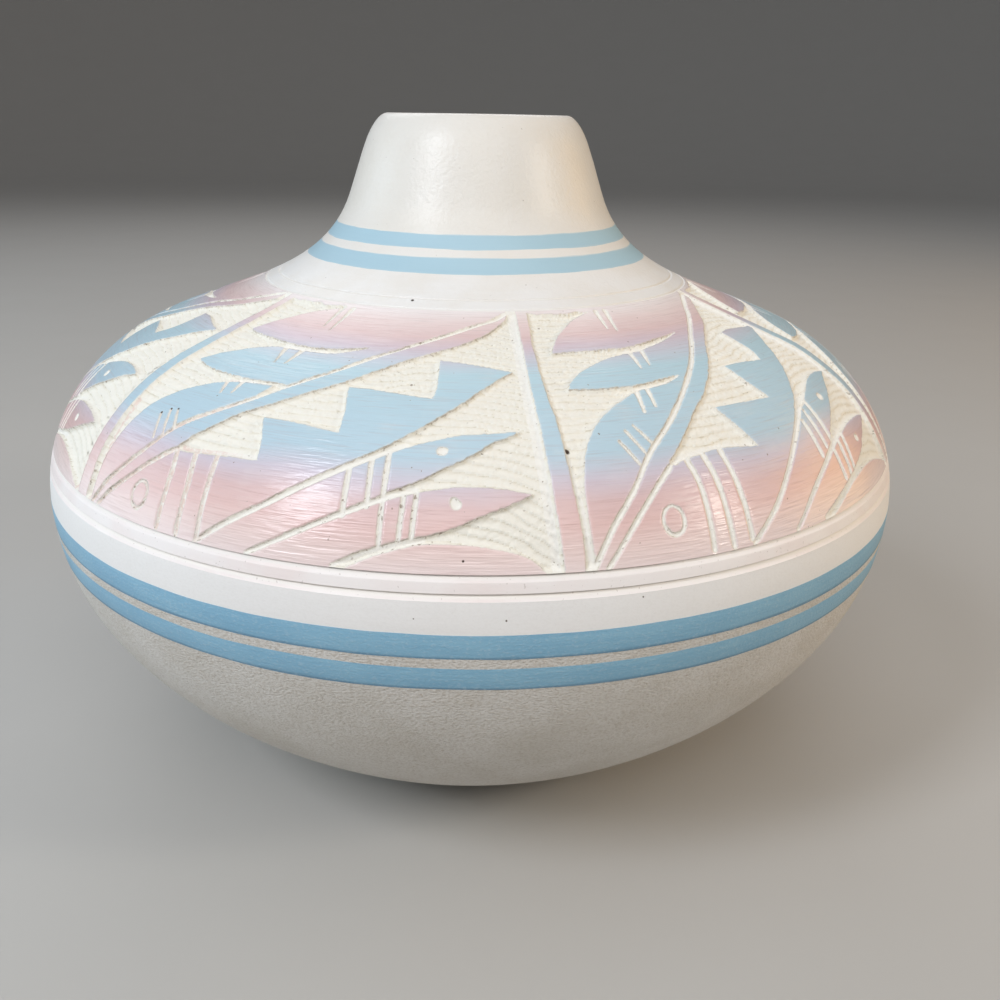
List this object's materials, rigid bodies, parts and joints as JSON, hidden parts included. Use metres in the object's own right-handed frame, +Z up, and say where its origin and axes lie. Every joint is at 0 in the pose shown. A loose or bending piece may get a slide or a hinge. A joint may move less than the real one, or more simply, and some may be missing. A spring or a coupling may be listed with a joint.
{
  "type": "pottery vase",
  "caption": "Low, wide earthenware vase with a short tapering neck, an open mouth, a flat foot, painted bands and a carved, slip-coloured shoulder.",
  "frame": {"origin": "centre of the flat foot, on the surface that the vase stands on", "axes": "+Z up along the vase's axis, towards the mouth; -Y is the side seen in the picture"},
  "size_m": [0.2, 0.2, 0.15],
  "materials": {
    "bare_clay": "bare, sandy and matte",
    "tinted_clay": "smooth, faintly rosy satin",
    "carved_clay": "tool-cut, cream and matte",
    "polished_clay": "smooth, cream white with a soft gloss",
    "blue_slip": "brushed sky blue satin",
    "field_slip": "brushed satin, shading from rose through lavender to sky blue and back"
  },
  "bodies": {
    "root": {"foot_slab": "bare_clay", "lower_bowl": "bare_clay", "belly_band_lower": "blue_slip", "belly_band_upper": "blue_slip", "waist_ring": "tinted_clay", "shoulder": "carved_clay", "shoulder_slip": "field_slip", "neck": "polished_clay", "neck_band_lower": "blue_slip", "neck_band_upper": "blue_slip"}
  },
  "joints": []
}
